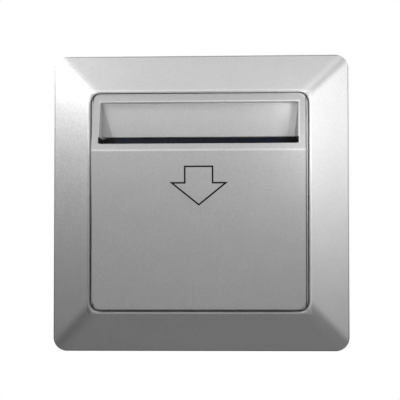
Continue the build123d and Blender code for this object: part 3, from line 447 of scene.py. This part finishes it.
fuse_low, fuse_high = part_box("fuse_resistor")
finishes = {
    "silver_paint": silver_paint(),
    "grey_plastic": grained("grey_plastic", (0.66, 0.66, 0.65), 0.5),
    "white_plastic": grained("white_plastic", (0.80, 0.80, 0.77), 0.45),
    "black_plastic": grained("black_plastic", (0.008, 0.008, 0.010), 0.5, shade=0.2,
                             specular_ior_level=0.15),
    "red_plastic": grained("red_plastic", (0.50, 0.035, 0.025), 0.4),
    "smoked_lens": smoked_lens(),
    "steel": metal("steel", (0.62, 0.63, 0.65), 0.28, (1.0, 0.08, 1.0)),
    "brass": metal("brass", (0.74, 0.55, 0.25), 0.3, (0.08, 1.0, 1.0)),
    "tinned_pins": metal("tinned_pins", (0.72, 0.72, 0.70), 0.34),
    "copper": wound_copper(),
    "circuit_board": circuit_board(),
    "chip_black": grained("chip_black", (0.03, 0.03, 0.032), 0.6, 0.12 * mm),
    "lamp_white": grained("lamp_white", (0.86, 0.84, 0.74), 0.2, 0.3 * mm, 0.001 * mm, 0.03),
    "yellow_plastic": grained("yellow_plastic", (0.70, 0.50, 0.06), 0.4),
    "aluminium_can": sleeved_can(),
    "blue_coating": grained("blue_coating", (0.03, 0.10, 0.42), 0.28, 0.7 * mm, 0.02 * mm, 0.1,
                            coat_weight=0.4),
    "blue_plastic": grained("blue_plastic", (0.05, 0.16, 0.50), 0.3, 0.3 * mm, 0.003 * mm),
    "grey_ceramic": banded_resistor((fuse_low.x + fuse_high.x) / 2, band_spacing),
}
slot_of = {part["node"]: part["material_slot"] for part in frame["record"]["subparts"]}
body_of = {node: body for body, members in frame["record"]["behaviour"]["bodies"].items() for node in members}
for name, node in nodes.items():
    node.data.materials.clear()
    node.data.materials.append(finishes[slot_of[name]].material)


def placed(name, mesh, finish):
    """A finished mesh as an object of the scene."""
    data = bpy.data.meshes.new(name)
    mesh.normal_update()
    mesh.to_mesh(data)
    mesh.free()
    data.materials.append(finish.material)
    made = bpy.data.objects.new(name, data)
    bpy.context.scene.collection.objects.link(made)
    return made


def piece(name, mesh, body, slot):
    """A piece of the object, which moves with its body and takes that slot's finish."""
    made = placed(name, mesh, finishes[slot])
    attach(made, body)
    return made


# Edges sharper than this are broken, faces flatter than this are joined, and points nearer than the weld
# are one
sharp, flat_turn = radians(20), radians(0.6)
weld = 0.002 * mm
# Thickness of the print on a back face, and how near to that face a point is still on it
back_print, on_back = 0.03 * mm, 0.001 * mm


def softened(node, name, width, segments, sink):
    """The part's own moulding with its sharp edges broken, as a tool leaves them.
    A back face that carries print is sunk by the print's thickness."""
    mesh = bmesh.new()
    mesh.from_mesh(nodes[node].data)
    bmesh.ops.remove_doubles(mesh, verts=mesh.verts, dist=weld)
    back = max(vert.co.y for vert in mesh.verts)
    for vert in mesh.verts:
        if sink and vert.co.y > back - on_back:
            vert.co.y -= sink
    bmesh.ops.dissolve_limit(mesh, angle_limit=flat_turn, verts=mesh.verts, edges=mesh.edges)
    for face in mesh.faces:
        face.smooth = True
    for edge in mesh.edges:
        edge.smooth = edge.is_manifold and edge.calc_face_angle() < sharp
    made = piece(name, mesh, body_of[node], slot_of[node])
    broken = made.modifiers.new("broken edges", "BEVEL")
    broken.width = width
    broken.segments = segments
    broken.limit_method = "ANGLE"
    broken.angle_limit = sharp
    broken.use_clamp_overlap = True
    flats = made.modifiers.new("flat faces", "WEIGHTED_NORMAL")
    flats.keep_sharp = True
    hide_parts(node)


# Node, name of its copy, width of the broken edge in millimetres, and segments in it
copies = [
    ("outer_frame", "face_frame_shell", 0.2, 3),
    ("front_cover", "centre_cover", 0.16, 3),
    ("card_pocket", "card_pocket_moulding", 0.1, 2),
    ("mounting_plate", "fixing_plate", 0.15, 2),
    ("rear_housing", "rear_shell", 0.25, 3),
    ("card_lever", "card_flap", 0.12, 2),
    ("switch_case", "snap_switch_body", 0.12, 2),
    ("relay_case", "relay_cover", 0.3, 3),
    ("relay_base", "relay_foot", 0.12, 2),
    ("relay_bobbin", "coil_former", 0.1, 2),
    ("film_capacitor", "film_capacitor_box", 0.35, 3),
    ("bridge_rectifier", "bridge_rectifier_body", 0.15, 2),
    ("reader_chip", "reader_chip_body", 0.1, 2),
    ("link_header", "link_header_block", 0.1, 2),
    ("varistor", "varistor_disc", 0.4, 3),
    ("relay_yoke", "yoke_strip", 0.12, 2),
    ("relay_armature", "armature_plate", 0.1, 2),
]
printed_backs = ["rear_housing"]
for number in range(1, 5):
    copies.append(("terminal_pole_%d" % number, "terminal_body_%d" % number, 0.2, 2))
    copies.append(("terminal_cage_%d" % number, "clamp_cage_%d" % number, 0.1, 2))
    copies.append(("terminal_screw_%d" % number, "clamp_screw_%d" % number, 0.08, 2))
    printed_backs.append("terminal_pole_%d" % number)
copies.append(("board_screws", "board_screw_set", 0.08, 2))
copies.append(("housing_screws", "shell_screw_set", 0.08, 2))
for node, name, width, segments in copies:
    softened(node, name, width * mm, segments, sink=back_print if node in printed_backs else 0.0)

# The printed arrow: the cover's slope from ridge to foot, the line's width and thickness, and its corners
ridge = Vector((0.0, -15.2, 14.4)) * mm
foot = Vector((0.0, -10.6, -30.9)) * mm
line, ink = 0.46 * mm, 0.015 * mm
stem_half, stem_top = 4.2 * mm, 9.95 * mm
head_half, shoulder, tip = 8.4 * mm, 5.3 * mm, -1.45 * mm
arrow_middle = 0.2 * mm


def thickened(mesh, faces, way):
    """Gives faces a thickness along a way."""
    raised = bmesh.ops.extrude_face_region(mesh, geom=faces)
    corners = [made for made in raised["geom"] if isinstance(made, bmesh.types.BMVert)]
    bmesh.ops.translate(mesh, vec=way, verts=corners)


def arrow_print():
    """Downward outline arrow, drawn flat and then laid on the cover's slope."""
    mesh = bmesh.new()
    corners = ((-stem_half, stem_top), (-stem_half, shoulder), (-head_half, shoulder), (0.0, tip),
               (head_half, shoulder), (stem_half, shoulder), (stem_half, stem_top))
    face = mesh.faces.new([mesh.verts.new((x + arrow_middle, 0.0, z)) for x, z in corners])
    face.normal_update()
    bmesh.ops.inset_region(mesh, faces=[face], thickness=line, use_even_offset=True, use_boundary=True)
    bmesh.ops.delete(mesh, geom=[face], context="FACES")
    thickened(mesh, mesh.faces[:], (0.0, -ink, 0.0))
    slope = foot - ridge
    for vert in mesh.verts:
        share = (vert.co.z - ridge.z) / slope.z
        vert.co.y += ridge.y + share * slope.y
    bmesh.ops.recalc_face_normals(mesh, faces=mesh.faces)
    piece("printed_arrow", mesh, "cover", "black_plastic")


arrow_print()


shell_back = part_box("rear_housing")[1].y
# Height of the typeface's digits as a share of its size
digit_share = 0.7


def print_on_back(name, text, x, z, height, slot):
    """Ink on the rear shell in a plain typeface, read from behind."""
    letters = bpy.data.curves.new(name, "FONT")
    letters.body = text
    letters.size = height / digit_share
    letters.align_x = "CENTER"
    letters.align_y = "CENTER"
    letters.extrude = back_print / 2
    drawn = bpy.data.objects.new(name, letters)
    converted = bpy.data.meshes.new_from_object(drawn)
    bpy.data.objects.remove(drawn)
    bpy.data.curves.remove(letters)
    mesh = bmesh.new()
    mesh.from_mesh(converted)
    bpy.data.meshes.remove(converted)
    bmesh.ops.remove_doubles(mesh, verts=mesh.verts, dist=weld)
    turn = Matrix(((-1.0, 0.0, 0.0), (0.0, 0.0, 1.0), (0.0, 1.0, 0.0)))
    bmesh.ops.transform(mesh, matrix=turn.to_4x4(), verts=mesh.verts)
    bmesh.ops.translate(mesh, vec=(x, shell_back - back_print / 2, z), verts=mesh.verts)
    bmesh.ops.recalc_face_normals(mesh, faces=mesh.faces)
    piece(name, mesh, body_of["rear_housing"], slot)


# Steps in each rounded corner of the label
corner_steps = 4


def label_sheet(name, x, z, width, height, corner, thickness, back, slot):
    """Thin sheet with rounded corners, stuck on the rear shell."""
    mesh = bmesh.new()
    points = []
    for turn, (side_x, side_z) in enumerate(((1, 1), (-1, 1), (-1, -1), (1, -1))):
        for step in range(corner_steps + 1):
            angle = radians(90.0 * (turn + step / corner_steps))
            points.append((x + side_x * (width / 2 - corner) + corner * cos(angle),
                           z + side_z * (height / 2 - corner) + corner * sin(angle)))
    face = mesh.faces.new([mesh.verts.new((px, back - thickness, pz)) for px, pz in points])
    face.normal_update()
    thickened(mesh, [face], (0.0, thickness, 0.0))
    bmesh.ops.recalc_face_normals(mesh, faces=mesh.faces)
    piece(name, mesh, body_of["rear_housing"], slot)


label_width, label_height, label_corner, label_rise = 30.0 * mm, 18.0 * mm, 1.5 * mm, 6.0 * mm
label_thickness, label_gap = 0.8 * back_print, 0.2 * back_print
numeral_height, numeral_gap = 2.0 * mm, 1.9 * mm
label_sheet("rating_label", 0.0, label_rise, label_width, label_height, label_corner, label_thickness,
            shell_back - label_gap, "white_plastic")
for number in range(1, 5):
    low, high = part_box("terminal_pole_%d" % number)
    print_on_back("terminal_numeral_%d" % number, str(number), (low.x + high.x) / 2, high.z + numeral_gap,
                  numeral_height, "black_plastic")


def islands(node):
    """Middle and half sides, across and up, of each separate solid in a node."""
    mesh = bmesh.new()
    mesh.from_mesh(nodes[node].data)
    bmesh.ops.remove_doubles(mesh, verts=mesh.verts, dist=weld)
    left = set(mesh.verts)
    found = []
    while left:
        island, reached = set(), [left.pop()]
        while reached:
            vert = reached.pop()
            island.add(vert)
            for edge in vert.link_edges:
                other = edge.other_vert(vert)
                if other in left:
                    left.discard(other)
                    reached.append(other)
        xs, zs = [vert.co.x for vert in island], [vert.co.z for vert in island]
        middle = ((min(xs) + max(xs)) / 2, (min(zs) + max(zs)) / 2)
        found.append((*middle, (max(xs) - min(xs)) / 2, (max(zs) - min(zs)) / 2))
    mesh.free()
    return found


# A solder fillet's profile: how far it spreads past the pin and how high it rises, from the board up
fillet = ((0.9, 0.0), (0.45, 0.14), (0.2, 0.34), (0.08, 0.62), (0.0, 0.85))
fillet_spread, fillet_rise, fillet_sides, pin_cover = 0.55 * mm, 0.9 * mm, 12, 1.1


def solder_joints(name, node, face, way, body):
    """Fillets of solder that rise from a board's face up each pin of a node."""
    mesh = bmesh.new()
    turns = [2 * pi * side / fillet_sides for side in range(fillet_sides)]
    for x, z, half_x, half_z in islands(node):
        pin = max(half_x, half_z) * pin_cover
        rings = []
        for spread, rise in fillet:
            radius = pin + spread * fillet_spread
            height = face + way * rise * fillet_rise
            rings.append([mesh.verts.new((x + radius * cos(turn), height, z + radius * sin(turn)))
                          for turn in turns])
        for lower, upper in zip(rings, rings[1:]):
            for k in range(fillet_sides):
                mesh.faces.new((lower[k], lower[k - 1], upper[k - 1], upper[k]))
        mesh.faces.new(rings[0])
        mesh.faces.new(rings[-1])
    bmesh.ops.recalc_face_normals(mesh, faces=mesh.faces)
    for made in mesh.faces:
        made.smooth = len(made.verts) == 4
    piece(name, mesh, body, "tinned_pins")


rear_low, rear_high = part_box("rear_board")
front_low, front_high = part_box("reader_board")
solder_joints("relay_solder", "relay_pins", rear_low.y, -1.0, body_of["rear_board"])
solder_joints("link_solder_rear", "link_pins", rear_high.y, 1.0, body_of["rear_board"])
solder_joints("link_solder_front", "link_pins", front_low.y, -1.0, body_of["reader_board"])
solder_joints("switch_solder", "switch_pins", front_high.y, 1.0, body_of["reader_board"])


# Studio: pale floor and backdrop, soft lamps and the camera
def plain(name, colour):
    """Matt studio material."""
    finish = Finish(name, colour, 0.9)
    finish.set("Specular IOR Level", 0.1)
    return finish


def sheet(name, middle, width, depth, finish):
    """Flat studio sheet round a middle, along two sides."""
    mesh = bmesh.new()
    bmesh.ops.create_grid(mesh, x_segments=1, y_segments=1, size=0.5)
    turn = Matrix((width, depth, width.cross(depth).normalized())).transposed()
    bmesh.ops.transform(mesh, matrix=turn.to_4x4(), verts=mesh.verts)
    bmesh.ops.translate(mesh, vec=middle, verts=mesh.verts)
    made = placed(name, mesh, finish)
    return made


def mixed(finish, share, other):
    """Gives another shader a share in a finish."""
    both = finish.node("ShaderNodeMixShader", {},
                       {0: share, 1: finish.shader.outputs[0], 2: other.outputs[0]})
    finish.tree.links.new(both.outputs[0], finish.tree.nodes["Material Output"].inputs["Surface"])
    return finish


def seen_pale(finish, share, brightness):
    """Shows a sheet pale to the camera, with the object's shadow still on it."""
    camera_ray = Value(finish, finish.node("ShaderNodeLightPath").outputs["Is Camera Ray"])
    glow = finish.node("ShaderNodeEmission", {}, {"Strength": brightness})
    return mixed(finish, camera_ray * share, glow)


floor_level, floor_size = -0.16, 3.0
floor_finish = seen_pale(plain("pale_floor", (0.85, 0.85, 0.85)), share=0.7, brightness=0.8)
sheet("floor", Vector((0.0, 0.0, floor_level)), Vector((floor_size, 0.0, 0.0)),
      Vector((0.0, floor_size, 0.0)), floor_finish)


def one_sided(finish):
    """Lets a sheet be seen from its front only."""
    behind = finish.node("ShaderNodeNewGeometry").outputs["Backfacing"]
    return mixed(finish, behind, finish.node("ShaderNodeBsdfTransparent"))


# Painted shadow: dark sheets, seen from the front only, behind the two screw slots where the wall box's shade
# falls
shadow_reach, shadow_back, shadow_width, shadow_height = 30.15 * mm, 0.6 * mm, 9.0 * mm, 6.0 * mm
for name, side in (("wall_behind_left", -1), ("wall_behind_right", 1)):
    shadow = sheet(name, Vector((side * shadow_reach, shadow_back, 0.0)), Vector((shadow_width, 0.0, 0.0)),
                   Vector((0.0, 0.0, shadow_height)), one_sided(plain("wall_shadow", (0.03, 0.03, 0.03))))
    shadow.visible_shadow = False


def lamp(name, place, size, watts, aim):
    """Soft rectangular lamp aimed at a point."""
    light = bpy.data.lights.new(name, "AREA")
    light.shape = "RECTANGLE"
    light.size, light.size_y = size
    light.energy = watts
    made = bpy.data.objects.new(name, light)
    made.location = place
    made.visible_camera = False
    made.rotation_euler = (Vector(aim) - Vector(place)).to_track_quat("-Z", "Y").to_euler()
    bpy.context.scene.collection.objects.link(made)


# Name, place, size, watts and aim, in metres. The last two light mostly what is turned from the camera.
lamps = (
    ("window_left_lamp", (-0.09, -0.13, 0.07), (0.03, 0.03), 0.0126, (0.01, 0.0, 0.02)),
    ("right_graze_lamp", (0.20, -0.03, 0.07), (0.1, 0.1), 0.0632, (0.035, 0.0, 0.01)),
    ("high_left_lamp", (-0.11, -0.04, 0.16), (0.05, 0.05), 0.049, (-0.015, 0.0, 0.02)),
    ("left_low_lamp", (-0.12, -0.05, 0.03), (0.05, 0.05), 0.0033, (-0.035, 0.0, 0.01)),
    ("left_high_lamp", (-0.10, -0.03, 0.06), (0.03, 0.05), 0.0432, (-0.037, 0.0, 0.03)),
    ("broad_lamp", (0.0, -0.28, -0.05), (0.25, 0.25), 0.0915, (0.0, 0.0, 0.0)),
    ("top_lamp", (0.0, -0.06, 0.22), (0.24, 0.1), 0.1057, (0.0, 0.0, 0.03)),
    ("right_card_lamp", (0.24, -0.10, 0.06), (0.15, 0.15), 0.1243, (0.035, 0.0, 0.01)),
    ("near_left_lamp", (-0.035, -0.10, 0.04), (0.06, 0.06), 0.0169, (-0.01, 0.0, 0.02)),
    ("window_right_lamp", (0.05, -0.05, 0.025), (0.02, 0.02), 0.019, (0.008, 0.0, 0.024)),
    ("back_lamp", (-0.20, 0.40, 0.22), (0.3, 0.3), 0.16, (0.0, 0.0, 0.0)),
    ("back_low_lamp", (0.25, 0.38, -0.02), (0.2, 0.2), 0.08, (0.0, 0.0, 0.0)),
)
for settings in lamps:
    lamp(*settings)

world = bpy.data.worlds.new("studio")
bpy.context.scene.world = world
world.use_nodes = True
air = world.node_tree


def world_node(kind, settings=None, sockets=None):
    """Outputs of a new node of the world."""
    made = air.nodes.new(kind)
    for name, value in (settings or {}).items():
        setattr(made, name, value)
    for name, value in (sockets or {}).items():
        if isinstance(value, bpy.types.NodeSocket):
            air.links.new(value, made.inputs[name])
        else:
            made.inputs[name].default_value = value
    return made.outputs


# Strengths of the world: to the sides as seen and as reflected, and all round as it lights
seen_level, reflected_level, lit_level = 0.7, 0.35, 0.0
rays = world_node("ShaderNodeLightPath")
shiny = world_node("ShaderNodeMath", {"operation": "MAXIMUM"},
                   {0: rays["Is Glossy Ray"], 1: rays["Is Transmission Ray"]})[0]
way = world_node("ShaderNodeSeparateXYZ", {}, {0: world_node("ShaderNodeTexCoord")["Generated"]})["Y"]


def backdrop(side):
    """White behind the object as the photograph sees it, and another level to the sides."""
    reach = {"Value": way, "From Min": 0.2, "From Max": 0.9, "To Min": side, "To Max": 1.0}
    return world_node("ShaderNodeMapRange", {"interpolation_type": "SMOOTHSTEP"}, reach)["Result"]


level = world_node("ShaderNodeMix", {}, {0: shiny, 2: lit_level, 3: backdrop(reflected_level)})[0]
level = world_node("ShaderNodeMix", {}, {0: rays["Is Camera Ray"], 2: level, 3: backdrop(seen_level)})[0]
air.links.new(level, air.nodes["Background"].inputs["Strength"])
air.nodes["Background"].inputs["Color"].default_value = (1.0, 1.0, 1.0, 1.0)

# Camera at the photograph's place, a little below and to the right of the middle
focal_pixels, photo_width = 1842.03, 400.0
tilt_up, turn_left = radians(3.239), radians(3.87)
lens = bpy.data.cameras.new("camera")
lens.sensor_width = 36.0
lens.lens = focal_pixels * lens.sensor_width / photo_width
camera = bpy.data.objects.new("camera", lens)
camera.location = Vector((35.9, -536.49, -29.47)) * mm
camera.rotation_euler = (radians(90.0) + tilt_up, 0.0, turn_left)
bpy.context.scene.collection.objects.link(camera)
bpy.context.scene.camera = camera
bpy.context.scene.view_settings.view_transform = "Standard"
